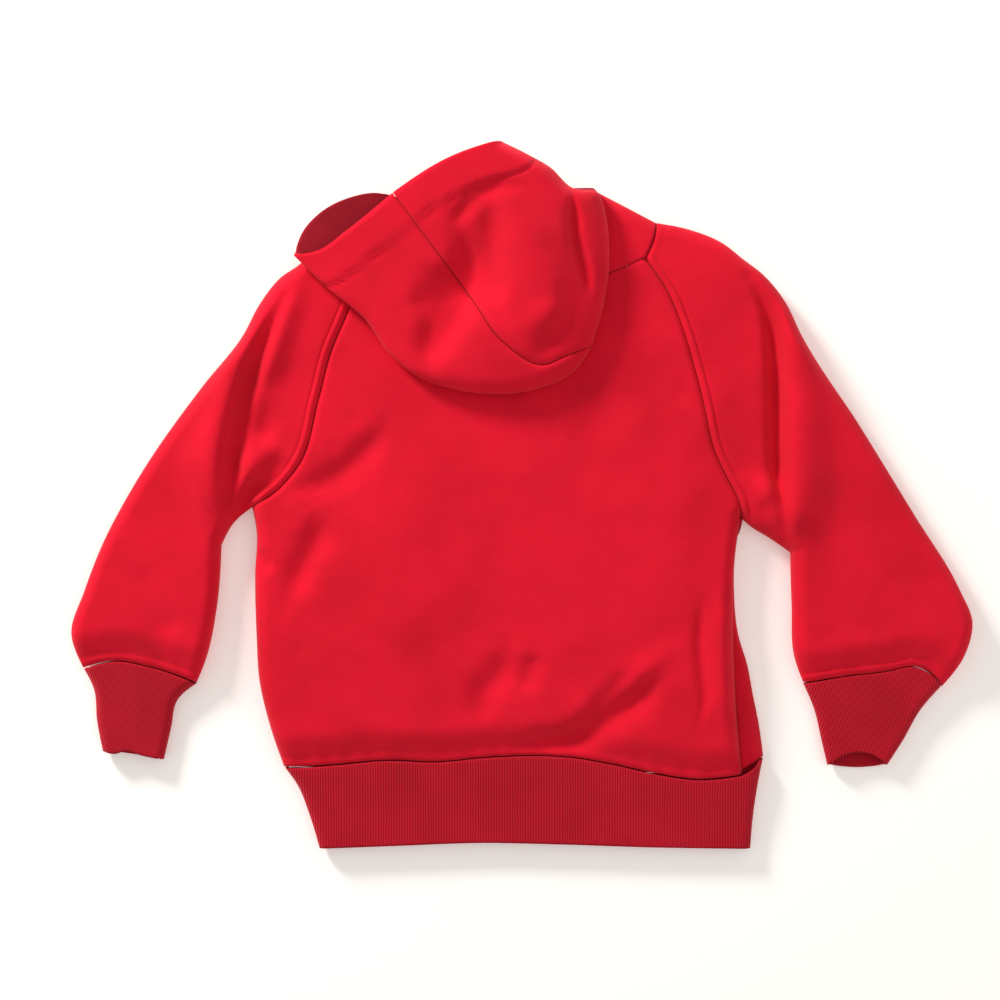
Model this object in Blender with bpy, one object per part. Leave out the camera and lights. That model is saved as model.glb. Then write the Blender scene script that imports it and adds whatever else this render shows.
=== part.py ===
"""A child's hooded raglan sweatshirt, laid face down with its hood thrown back over the shoulders.

Every piece is a wall of cloth. Its plan is a Coons patch between outline curves through a few
points, and its height is the form of the laid garment: the layer that rests is flat, the layer above
it is domed and folded, and the two turn into each other in a round fold at the outline.

Metres, +Z up. +Y points from the hem to the hood, and the origin is on the surface that it lies on.
Tables are in millimetres.
"""

import math

import bpy
import numpy as np

MM = 0.001

# Cloth.
FLEECE_WALL = 2.4
RIB_WALL = 2.4
POCKET_WALL = 1.6
SEAM_GAP = 0.8
LAYER_GAP = 0.6

# Heights of the laid garment.
BODY_HEIGHT = 20.0
SEAM_HEIGHT = 13.0
BAND_HEIGHT = 11.0
PUFF = 24.0
SIDE_FOLD = 8.5
SIDE_ROUND = 10.0
STRIP_FOLD = 4.6
STRIP_TOP = 7.7
BAND_FOLD = 5.6
BAND_ROUND = 6.5
HOOD_FOLD = 7.0
HOOD_ROUND = 11.0
HOOD_UNDER_ROUND = 6.0

# Facets.
ACROSS = 18
SIDE_ROWS = 6
ARMHOLE_ROWS = 9
NECK_END_ROWS = 2
UNDERARM_ROWS = 2
SLEEVE_ROWS = 6
SLEEVE_ACROSS = 10
BAND_ROWS = 3
CUFF_ACROSS = 8
CUFF_ROWS = 3
HOOD_SIDE = 4
HOOD_DOWN = 7
STAND_ROWS = 4

# Outline curves.
CURVES = {
    "sleeve_outer_left": [
        (-106, 190), (-124, 178), (-137, 162), (-150, 153), (-165, 134), (-176, 113),
        (-204, 78), (-238, 31), (-257, 0), (-273, -31), (-285, -62), (-294, -92), (-286, -115),
    ],
    "underarm_left": [(-170, -5), (-182, -15), (-191, -31)],
    "sleeve_inner_left": [(-191, -31), (-194, -72), (-202, -110), (-208, -125)],
    "armhole_left": [
        (-170, -5), (-151, 8), (-137, 25), (-124, 69), (-116, 100), (-102, 135), (-96, 163),
    ],
    "front_armhole_left": [(-170, -5), (-150, 9), (-132, 31), (-116, 69), (-104, 105), (-90, 135), (-78, 156)],
    "cuff_seam_left": [(-286, -115), (-263, -110), (-244, -113), (-226, -118), (-208, -125)],
    "cuff_outer_left": [(-284, -118), (-279, -130), (-277, -151), (-273, -172)],
    "cuff_inner_left": [(-210.5, -127), (-222, -138), (-226, -156), (-231, -178)],
    "cuff_hem_left": [(-273, -172), (-264, -174), (-256, -172), (-246, -175), (-231, -178)],
    "cuff_under_left": [(-273, -172), (-252, -175), (-231, -178)],
    "sleeve_outer_right": [
        (107, 190), (128, 186), (153, 176), (167, 165), (180, 155), (196, 135), (206, 114),
        (246, 52), (284, -10), (315, -61), (324, -84), (318, -108), (303, -128),
    ],
    "underarm_right": [(165, -12), (173, -19), (183, -25), (199, -36)],
    "sleeve_inner_right": [(199, -36), (200, -72), (202, -108), (208, -125)],
    "armhole_right": [
        (165, -12), (163, -1), (156, 13), (147, 32), (138, 70), (132, 93), (124, 119), (115, 141), (99, 165),
    ],
    "front_armhole_right": [
        (165, -12), (161, -1), (150, 14), (134, 38), (122, 72), (110, 105), (96, 135), (82, 156),
    ],
    "cuff_seam_right": [(303, -128), (298, -121), (284, -114), (266, -117), (233, -121), (208, -125)],
    "cuff_outer_right": [(299, -131), (289, -144), (277, -165), (266, -182)],
    "cuff_inner_right": [(210, -127.5), (216, -144), (221, -165), (225, -182)],
    "cuff_hem_right": [(266, -182), (256, -175), (244, -173), (232, -177), (225, -182)],
    "cuff_under_right": [(266, -182), (246, -184), (225, -182)],
    "side_left": [(-170, -5), (-167, -21), (-168, -51), (-167, -93), (-165, -124), (-158, -154), (-148, -183)],
    "side_right": [
        (165, -12), (162, -31), (161, -62), (164, -93), (170, -113), (174, -134), (178, -154), (181, -176),
    ],
    "back_side_right": [(165, -12), (161, -41), (160, -82), (161, -124), (163, -158), (166, -188)],
    "waist": [
        (-148, -183), (-114, -181), (-79, -178), (-42, -179), (-10, -176), (49, -176), (79, -181),
        (106, -187), (137, -191), (166, -188),
    ],
    "strip_waist": [(166, -188), (174, -183), (181, -176)],
    "front_waist": [(-148, -183), (-60, -186), (60, -187), (150, -184), (181, -176)],
    "back_neck": [(-96, 163), (-60, 150), (0, 144), (60, 150), (99, 165)],
    "front_neck": [(-78, 156), (-50, 135), (0, 124), (55, 135), (82, 156)],
    "neck_end_left": [(-106, 190), (-102, 177), (-96, 163)],
    "neck_end_right": [(107, 190), (105, 179), (99, 165)],
    "front_neck_end_left": [(-106, 190), (-95, 172), (-78, 156)],
    "front_neck_end_right": [(107, 190), (97, 172), (82, 156)],
    "band_left": [(-146, -185.5), (-139, -196), (-131, -216), (-124, -239)],
    "band_right": [(178, -181.5), (177, -196), (174, -216), (172, -239)],
    "band_hem": [(-124, -239), (-71, -237), (-14, -235), (41, -236), (103, -238), (172, -239)],
    "stand_left": [(-106, 190), (-88, 199), (-68, 205)],
    "stand_right": [(107, 190), (88, 200), (67, 211)],
    "stand_top_left": [(-68, 205), (-32, 207), (5, 208)],
    "stand_top_right": [(5, 208), (35, 210), (67, 211)],
    "stand_seam": [(0, 144), (2, 176), (5, 208)],
    "front_edge": [(0, 124), (0, 165), (0, 204)],
    "lip_left": [(-68, 205), (-34, 204), (0, 204)],
    "lip_right": [(22, 205), (45, 208), (67, 211)],
    "lip_middle": [(0, 204), (11, 204), (22, 205)],
    "rim_left": [(-140, 166), (-122, 169), (-104, 181), (-72, 206)],
    "rim_right": [(-72, 206), (-36, 228), (3, 242)],
    "rim_far": [(-68, 205), (-84, 209), (-102, 206), (-122, 196), (-134, 183), (-140, 166)],
    "rim_drop": [(3, 242), (14, 226), (22, 205)],
    "hood_top": [(3, 242), (20, 234), (34, 226), (49, 212), (67, 211)],
    "hood_upper_right": [(67, 211), (72, 193), (74, 157)],
    "hood_lower_right": [(74, 157), (71, 136), (62, 104)],
    "hood_bottom": [(62, 104), (50, 87), (24, 75), (-11, 72), (-42, 78)],
    "hood_left": [(-42, 78), (-58, 85), (-73, 97), (-92, 123), (-115, 142), (-140, 166)],
    "hood_seam": [(62, 104), (44, 97), (29, 91), (3, 105), (-20, 137), (-38, 161), (-72, 206)],
    "hood_under_seam": [(62, 104), (48, 99), (34, 104), (22, 150), (5, 208)],
}

# Height of the hood's upper layer, where it is known.
HOOD_HEIGHTS = [
    # x, y, height
    (-140, 166, 27), (-104, 181, 36), (-72, 206, 43), (-30, 228, 49), (3, 242, 46), (34, 226, 42),
    (67, 211, 30), (74, 157, 34), (40, 180, 47), (0, 195, 50), (-20, 160, 43), (30, 130, 46),
    (-60, 160, 38), (-95, 150, 32), (-75, 115, 33), (-42, 85, 36), (10, 85, 38), (55, 105, 36), (20, 105, 43),
]

# Folds of the upper layer: the line of the fold, its height and how far it reaches to each side.
FOLDS = [
    {"line": [(-197, -30), (-197, 6), (-190, 42), (-178, 88), (-158, 130)], "height": 5.0, "reach": 20.0},
    {"line": [(206, -40), (203, 30), (202, 90), (190, 130)], "height": 5.0, "reach": 18.0},
    {"line": [(-2, -160), (40, -158), (90, -125), (118, -105)], "height": -5.0, "reach": 15.0},
    {"line": [(-136, -8), (-132, -50), (-146, -78)], "height": -3.5, "reach": 14.0},
]

# Pocket on the outside of the front, open at the slants of both sides.
POCKET = {
    "bottom": [(-128, -179), (-60, -181), (60, -182), (154, -178)],
    "top": [(-78, -45), (94, -45)],
    "left": [(-128, -179), (-131, -142), (-78, -45)],
    "right": [(154, -178), (150, -140), (94, -45)],
}


# ------------------------------------------------------------------ curves

def run(points, step=1.5):
    """A smooth line through the points, as a dense one."""
    p = np.array(points, dtype=float)
    if len(p) < 3:
        return p
    h = np.maximum(np.linalg.norm(p[1:] - p[:-1], axis=1), 1e-6)
    slope = (p[1:] - p[:-1]) / h[:, None]
    tangent = np.empty_like(p)
    tangent[1:-1] = (slope[1:] * h[:-1, None] + slope[:-1] * h[1:, None]) / (h[:-1] + h[1:])[:, None]
    tangent[0] = 1.5 * slope[0] - 0.5 * tangent[1]
    tangent[-1] = 1.5 * slope[-1] - 0.5 * tangent[-2]
    out = [p[:1]]
    for i in range(len(h)):
        n = max(2, int(math.ceil(h[i] / step)))
        t = (np.arange(1, n + 1) / n)[:, None]
        t2, t3 = t * t, t * t * t
        out.append((2 * t3 - 3 * t2 + 1) * p[i] + (t3 - 2 * t2 + t) * h[i] * tangent[i]
                   + (3 * t2 - 2 * t3) * p[i + 1] + (t3 - t2) * h[i] * tangent[i + 1])
    return np.vstack(out)


LINE = {name: run(points) for name, points in CURVES.items()}


def at(line, t):
    """Points of a dense line at fractions of its length."""
    s = np.concatenate(([0.0], np.cumsum(np.linalg.norm(line[1:] - line[:-1], axis=1))))
    t = np.asarray(t, dtype=float) * s[-1]
    return np.stack([np.interp(t, s, line[:, k]) for k in range(line.shape[1])], axis=-1)


def shift(line, d):
    """The line moved to its left by d."""
    t = np.gradient(line, axis=0)
    t /= np.maximum(np.linalg.norm(t, axis=1), 1e-9)[:, None]
    return line + d * np.stack([-t[:, 1], t[:, 0]], axis=1)


def join(*lines):
    return np.vstack([lines[0]] + [line[1:] for line in lines[1:]])


def even(n):
    return np.linspace(0.0, 1.0, n + 1)


def packed(n):
    """Fractions packed closer towards both ends."""
    return 0.5 - 0.5 * np.cos(math.pi * even(n))


def packed_start(n):
    return 1.0 - np.cos(0.5 * math.pi * even(n))


def coons(bottom, top, left, right, a, b):
    """A plan between four sides. Bottom and top run along a, left and right run along b."""
    a = a[None, :, None]
    b = b[:, None, None]
    ruled = (1 - b) * bottom[None] + b * top[None] + (1 - a) * left[:, None] + a * right[:, None]
    corner = ((1 - a) * (1 - b) * bottom[0] + a * (1 - b) * bottom[-1] + (1 - a) * b * top[0] + a * b * top[-1])
    return ruled - corner


def near(points, lines):
    """Distance of each point to the nearest of the lines."""
    flat = points.reshape(-1, 2)
    best = np.full(len(flat), 1e9)
    for line in lines:
        a, d = line[:-1], line[1:] - line[:-1]
        length = np.maximum((d * d).sum(1), 1e-12)
        for start in range(0, len(flat), 20000):
            p = flat[start:start + 20000]
            rel = p[:, None] - a[None]
            t = np.clip((rel * d[None]).sum(2) / length[None], 0, 1)
            off = rel - t[..., None] * d[None]
            part = slice(start, start + len(p))
            best[part] = np.minimum(best[part], np.sqrt((off * off).sum(2).min(1)))
    return best.reshape(points.shape[:-1])


def smooth(t):
    t = np.clip(t, 0, 1)
    return t * t * (3 - 2 * t)


def lift(t):
    """The rise of a round fold, from its edge to its top."""
    t = np.clip(t, 0, 1)
    return np.sqrt(np.maximum(0.0, 1 - (1 - t) ** 2))


# ------------------------------------------------------------------ heights

ROUND_FOLDS = [
    LINE["side_right"][::-1], LINE["underarm_right"], LINE["sleeve_inner_right"],
    LINE["sleeve_outer_right"][::-1],
    LINE["stand_right"], LINE["stand_left"][::-1], LINE["sleeve_outer_left"],
    LINE["sleeve_inner_left"][::-1], LINE["underarm_left"][::-1], LINE["side_left"],
]
BACK_FOLDS = [LINE["back_side_right"][::-1]] + ROUND_FOLDS[1:]
BAND_FOLDS = [LINE["band_right"][::-1], LINE["band_left"]]
CUFF_FOLDS_LEFT = [LINE["cuff_outer_left"], LINE["cuff_inner_left"][::-1]]
CUFF_FOLDS_RIGHT = [LINE["cuff_outer_right"][::-1], LINE["cuff_inner_right"]]
GATHERED = [join(LINE["waist"], LINE["strip_waist"]), LINE["cuff_seam_left"], LINE["cuff_seam_right"]]
HOOD_FOLDS = [
    LINE["hood_left"][::-1], LINE["hood_bottom"][::-1], LINE["hood_lower_right"][::-1],
    LINE["hood_upper_right"][::-1], LINE["hood_top"][::-1],
]
FOLD_LINES = [(run(fold["line"]), fold["height"], fold["reach"]) for fold in FOLDS]
STAND_CORNERS = np.array([CURVES["stand_top_left"][0], CURVES["stand_top_right"][-1]], dtype=float)


def laid(p):
    """Height of the upper layer of body, sleeves and stand, away from their outline."""
    gather = near(p, GATHERED)
    z = SEAM_HEIGHT + (BODY_HEIGHT - SEAM_HEIGHT) * smooth(gather / PUFF)
    z = z - 3.0 * smooth((p[..., 1] - 140.0) / 60.0)
    for line, height, reach in FOLD_LINES:
        d = near(p, [line])
        z = z + height * np.exp(-(d / reach) ** 2) * smooth(gather / PUFF)
    return z


def upper(p, folds=ROUND_FOLDS, base=SIDE_FOLD):
    d = near(p, folds)
    return base + (laid(p) - base) * lift(d / SIDE_ROUND)


def edge_height(p):
    """Height of the outline. It is lower along the right side, where the front shows past the back."""
    lower = smooth((-15.0 - p[..., 1]) / 45.0) * smooth((p[..., 0] - 100.0) / 40.0) * (
        near(p, [LINE["side_right"]]) < near(p, [LINE["underarm_right"]]))
    return SIDE_FOLD - (SIDE_FOLD - STRIP_FOLD) * lower


def under(p, folds=ROUND_FOLDS):
    d = near(p, folds)
    return edge_height(p) * (1 - lift(d / SIDE_ROUND))


def band_upper(p, folds):
    d = near(p, folds)
    down = near(p, GATHERED)
    top = SEAM_HEIGHT - (SEAM_HEIGHT - BAND_HEIGHT) * smooth(down / 40.0)
    fold = np.where(p[..., 0] > 0, 1.0, 1.0) * BAND_FOLD
    return fold + (top - fold) * lift(d / BAND_ROUND)


def band_under(p, folds):
    d = near(p, folds)
    return BAND_FOLD * (1 - lift(d / BAND_ROUND))


def to_corner(p, corners):
    return np.min([np.linalg.norm(p - c, axis=-1) for c in corners], axis=0)


def spline_heights(table):
    q = np.array(table, dtype=float)
    xy, z = q[:, :2] / 100.0, q[:, 2]

    def kernel(r2):
        return np.where(r2 > 1e-12, 0.5 * r2 * np.log(np.maximum(r2, 1e-12)), 0.0)

    n = len(q)
    k = kernel(((xy[:, None] - xy[None]) ** 2).sum(2)) + 0.002 * np.eye(n)
    one = np.hstack([np.ones((n, 1)), xy])
    system = np.vstack([np.hstack([k, one]), np.hstack([one.T, np.zeros((3, 3))])])
    w = np.linalg.solve(system, np.concatenate([z, np.zeros(3)]))

    def height(p):
        s = p / 100.0
        r2 = ((s[..., None, :] - xy) ** 2).sum(-1)
        return kernel(r2) @ w[:n] + w[n] + s @ w[n + 1:]

    return height


HOOD_TOP = spline_heights(HOOD_HEIGHTS)


def rests(p):
    """Height of the outside of the hood's lower layer, away from its outline."""
    corner = lift(to_corner(p, STAND_CORNERS) / SIDE_ROUND)
    return SIDE_FOLD + (laid(p) + LAYER_GAP - SIDE_FOLD) * corner


def hood_edge(p):
    corner = lift(to_corner(p, STAND_CORNERS[1:]) / SIDE_ROUND)
    return SIDE_FOLD + (laid(p) + LAYER_GAP + HOOD_FOLD - SIDE_FOLD) * corner


def hood_under(p):
    d = near(p, HOOD_FOLDS)
    low, edge = rests(p), hood_edge(p)
    return edge + (low - edge) * lift(d / HOOD_UNDER_ROUND)


def hood_upper(p):
    d = near(p, HOOD_FOLDS)
    edge = hood_edge(p)
    return edge + np.maximum(HOOD_TOP(p) - edge, 2.0) * lift(d / HOOD_ROUND)


# ------------------------------------------------------------------ cloth

class Cloth:
    """An outer skin of joined patches, given a wall on its inner side."""

    def __init__(self):
        self.verts, self.index, self.faces, self.fixed = [], {}, [], {}

    def vertex(self, co):
        key = tuple(np.round(co, 3))
        if key not in self.index:
            self.index[key] = len(self.verts)
            self.verts.append(np.array(co, dtype=float))
        return self.index[key]

    def patch(self, grid, flip=False):
        ids = np.array([[self.vertex(co) for co in row] for row in grid])
        for j in range(ids.shape[0] - 1):
            for i in range(ids.shape[1] - 1):
                face = [ids[j, i], ids[j, i + 1], ids[j + 1, i + 1], ids[j + 1, i]]
                face = [v for k, v in enumerate(face) if v != face[k - 1]]
                if len(face) >= 3:
                    self.faces.append(face[::-1] if flip else face)
        return ids

    def level(self, ids):
        """Walls at these vertices stand level, for the two sides of a seam that lies on the outline."""
        for v in np.ravel(ids):
            self.fixed[int(v)] = "level"

    def upright(self, ids):
        for v in np.ravel(ids):
            self.fixed[int(v)] = "upright"

    def solid(self, wall):
        verts = np.array(self.verts)
        normal = np.zeros_like(verts)
        for face in self.faces:
            p = verts[face]
            n = len(face)
            for k in range(n):
                u, v = p[(k + 1) % n] - p[k], p[k - 1] - p[k]
                cross = np.cross(u, v)
                size = np.linalg.norm(cross)
                if size > 1e-12:
                    angle = math.atan2(size, float(u @ v))
                    normal[face[k]] += cross / size * angle
        normal /= np.maximum(np.linalg.norm(normal, axis=1), 1e-9)[:, None]
        for v, how in self.fixed.items():
            if how == "level":
                normal[v, 2] = 0.0
            else:
                normal[v, :2] = 0.0
            normal[v] /= max(np.linalg.norm(normal[v]), 1e-9)
        count = len(verts)
        faces = [list(face) for face in self.faces] + [[v + count for v in face[::-1]] for face in self.faces]
        edges = {}
        for face in self.faces:
            for k in range(len(face)):
                edges[(face[k - 1], face[k])] = True
        for a, b in list(edges):
            if (b, a) not in edges:
                faces.append([b, a, a + count, b + count])
        return np.vstack([verts, verts - normal * wall]), faces


def with_height(plan, height):
    return np.concatenate([plan, np.asarray(height)[..., None]], axis=2)


def material(name, colour, roughness, sheen):
    mat = bpy.data.materials.new(name)
    mat.use_nodes = True
    shader = mat.node_tree.nodes["Principled BSDF"]
    shader.inputs["Base Color"].default_value = (*colour, 1.0)
    shader.inputs["Roughness"].default_value = roughness
    shader.inputs["Sheen Weight"].default_value = sheen
    return mat


def make(name, cloth, wall, mat):
    verts, faces = cloth.solid(wall)
    mesh = bpy.data.meshes.new(name)
    mesh.from_pydata([tuple(v * MM) for v in verts], [], [tuple(int(i) for i in f) for f in faces])
    mesh.validate()
    mesh.materials.append(mat)
    obj = bpy.data.objects.new(name, mesh)
    bpy.context.scene.collection.objects.link(obj)
    return obj


# ------------------------------------------------------------------ pieces

U = packed(ACROSS)
SIDE_T = even(SIDE_ROWS)
ARMHOLE_T = 0.5 * (even(ARMHOLE_ROWS) + packed_start(ARMHOLE_ROWS))
NECK_END_T = packed_start(NECK_END_ROWS)


def shared(*parts):
    return np.vstack([parts[0]] + [part[1:] for part in parts[1:]])


def two_part(first, second, t1, t2):
    return np.vstack([at(first, t1), at(second, t2)[1:]])


def panel_plan(side_left, armhole_left, side_right, armhole_right, waist, neck):
    left = two_part(side_left[::-1], armhole_left, SIDE_T, ARMHOLE_T)
    right = two_part(side_right[::-1], armhole_right, SIDE_T, ARMHOLE_T)
    bottom, top = at(waist, U), at(neck, U)
    bottom[0], bottom[-1], top[0], top[-1] = left[0], right[0], left[-1], right[-1]
    b = np.concatenate([0.45 * SIDE_T, 0.45 + 0.55 * ARMHOLE_T[1:]])
    return coons(bottom, top, left, right, U, b)


def cut_edges(cloth, ids):
    """Walls stand upright along the cut edges of waist, armholes and neck."""
    cloth.upright(ids[0, 1:-1])
    cloth.upright(ids[-1, 1:-1])
    cloth.upright(ids[SIDE_ROWS + 1:, 0])
    cloth.upright(ids[SIDE_ROWS + 1:, -1])


def back_panel(mat):
    half = 0.5 * SEAM_GAP
    plan = panel_plan(
        LINE["side_left"], shift(LINE["armhole_left"], -half), LINE["back_side_right"],
        shift(LINE["armhole_right"], half), shift(LINE["waist"], half), shift(LINE["back_neck"], -half))
    z = upper(plan, BACK_FOLDS, SIDE_FOLD + half)
    z[SIDE_ROWS, -1] += 0.8
    cloth = Cloth()
    ids = cloth.patch(with_height(plan, z))
    cut_edges(cloth, ids)
    cloth.level(ids[:SIDE_ROWS + 1, 0])
    cloth.level(ids[:SIDE_ROWS + 1, -1])
    return make("back_panel", cloth, FLEECE_WALL, mat)


def pocket_lift(p):
    """Room for the pocket between the front and the surface."""
    inside = np.minimum(np.minimum((p[..., 1] + 215.0) / 20.0, (-12.0 - p[..., 1]) / 18.0), 1.0)
    inside = np.minimum(inside, np.minimum((p[..., 0] + 160.0) / 16.0, (184.0 - p[..., 0]) / 16.0))
    return (POCKET_WALL + 0.4) * smooth(inside)


def front_panel(mat):
    half = 0.5 * SEAM_GAP
    plan = panel_plan(
        LINE["side_left"], shift(LINE["front_armhole_left"], -half), LINE["side_right"],
        shift(LINE["front_armhole_right"], half), shift(LINE["front_waist"], half), shift(LINE["front_neck"], -half))
    z = under(plan)
    z = np.maximum(z, pocket_lift(plan))
    z[:SIDE_ROWS + 1, 0] -= half
    z[:SIDE_ROWS + 1, -1] -= half
    cloth = Cloth()
    ids = cloth.patch(with_height(plan, z), flip=True)
    cut_edges(cloth, ids)
    cloth.level(ids[:SIDE_ROWS + 1, 0])
    # The strip of the front that shows past the fold of the back.
    outer = at(LINE["side_right"][::-1], SIDE_T)
    fold = at(LINE["back_side_right"][::-1], SIDE_T)
    tuck = 0.4 + 2.6 * smooth((-12.0 - fold[:, 1]) / 50.0)
    fold[:, 0] -= tuck
    outer[0] = plan[0, -1]
    fold[0] = [fold[0, 0], outer[0, 1] - 11.0]
    a = even(3)
    strip = outer[:, None] * (1 - a[None, :, None]) + fold[:, None] * a[None, :, None]
    edge = z[:SIDE_ROWS + 1, -1][:, None]
    rise = edge + (STRIP_TOP - edge) * lift(a[None, :] * 1.4)
    strip = with_height(strip, rise)
    strip[:, 0, 2] = z[:SIDE_ROWS + 1, -1]
    ids = cloth.patch(strip, flip=True)
    cloth.upright(ids[0, 1:])
    cloth.level(ids[-1])
    return make("front_panel", cloth, FLEECE_WALL, mat)


def pocket(mat):
    lines = {name: run(points) for name, points in POCKET.items()}
    a, b = even(6), even(5)
    left, right = at(lines["left"], b), at(lines["right"], b)
    bottom, top = at(lines["bottom"], a), at(lines["top"], a)
    plan = coons(bottom, top, left, right, a, b)
    cloth = Cloth()
    cloth.patch(with_height(plan, np.zeros(plan.shape[:2])), flip=True)
    return make("pocket", cloth, POCKET_WALL, mat)


def sleeve(side, mat):
    sign = 1.0 if side == "left" else -1.0
    half = 0.5 * SEAM_GAP * sign
    a = 0.5 * (even(SLEEVE_ACROSS) + packed(SLEEVE_ACROSS))
    bend_t = 0.09 + 0.91 * even(UNDERARM_ROWS)
    arm_t = 1.0 - ARMHOLE_T[::-1]
    b = np.concatenate([0.55 * arm_t, 0.55 + 0.1 * even(UNDERARM_ROWS)[1:], 0.65 + 0.35 * even(SLEEVE_ROWS)[1:]])
    outer = at(LINE["sleeve_outer_" + side], b)
    cuff_line = at(shift(LINE["cuff_seam_" + side], half), a)
    cloth = Cloth()
    for front, height, flip in (("", upper, True), ("front_", under, False)):
        neck = at(shift(LINE[front + "neck_end_" + side], -half), a)
        arm = at(shift(LINE[front + "armhole_" + side][::-1], -half), arm_t)
        inner = shared(arm, at(LINE["underarm_" + side], bend_t), at(LINE["sleeve_inner_" + side], even(SLEEVE_ROWS)))
        inner[ARMHOLE_ROWS] = at(LINE["underarm_" + side], bend_t[0])
        neck[0], neck[-1], cuff_line[0], cuff_line[-1] = outer[0], inner[0], outer[-1], inner[-1]
        plan = coons(neck, cuff_line, outer, inner, a, b)
        z = height(plan)
        z[:, 0] = z[ARMHOLE_ROWS:, -1] = SIDE_FOLD
        ids = cloth.patch(with_height(plan, z), flip=flip if side == "left" else not flip)
        cloth.upright(ids[-1, 1:-1])
        cloth.upright(ids[0, 1:-1])
        cloth.upright(ids[1:ARMHOLE_ROWS, -1])
        cloth.level(ids[ARMHOLE_ROWS:ARMHOLE_ROWS + 2, -1])
    return make("sleeve_" + side, cloth, FLEECE_WALL, mat)


def tube(name, top_seam, low_seam, hem, low_hem, first, second, u, rows, folds, flip, mat):
    b = even(rows)
    left, right = at(first, b), at(second, b)
    cloth = Cloth()
    for seam, edge, height, turn in ((top_seam, hem, band_upper, flip), (low_seam, low_hem, band_under, not flip)):
        start, end = at(seam, u), at(edge, u)
        start[0], start[-1], end[0], end[-1] = left[0], right[0], left[-1], right[-1]
        plan = coons(start, end, left, right, u, b)
        z = height(plan, folds)
        z[:, 0] = z[:, -1] = BAND_FOLD
        ids = cloth.patch(with_height(plan, z), flip=turn)
        cloth.upright(ids[0, 1:-1])
    return make(name, cloth, RIB_WALL, mat)


def waistband(mat):
    whole = join(LINE["waist"], LINE["strip_waist"])
    top = shift(whole, -0.8)
    low = shift(LINE["front_waist"], -0.8)
    return tube("waistband", top, low, LINE["band_hem"], LINE["band_hem"], LINE["band_left"], LINE["band_right"],
                packed(ACROSS), BAND_ROWS, BAND_FOLDS, True, mat)


def cuff(side, mat):
    sign = 1.0 if side == "left" else -1.0
    seam = shift(LINE["cuff_seam_" + side], -0.8 * sign)
    folds = CUFF_FOLDS_LEFT if side == "left" else CUFF_FOLDS_RIGHT
    return tube("cuff_" + side, seam, seam, LINE["cuff_hem_" + side], LINE["cuff_under_" + side],
                LINE["cuff_outer_" + side], LINE["cuff_inner_" + side],
                packed(CUFF_ACROSS), CUFF_ROWS, folds, side == "left", mat)


def lay_patch(cloth, plan, height, edges, flip, cuts=()):
    """Adds a patch of the hood. Edges gives the heights of those sides that other patches share."""
    z = height(plan)
    for where, value in edges:
        z[where] = value
    ids = cloth.patch(with_height(plan, z), flip=flip)
    for cut in cuts:
        cloth.upright(ids[cut][1:-1])


FIRST_ROW, LAST_ROW = (0, slice(None)), (-1, slice(None))
FIRST, LAST = (slice(None), 0), (slice(None), -1)


def stand_height(p):
    return upper(p)


def stand_under(p):
    d = near(p, ROUND_FOLDS)
    return SIDE_FOLD * (1 - lift(d / SIDE_ROUND))


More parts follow.
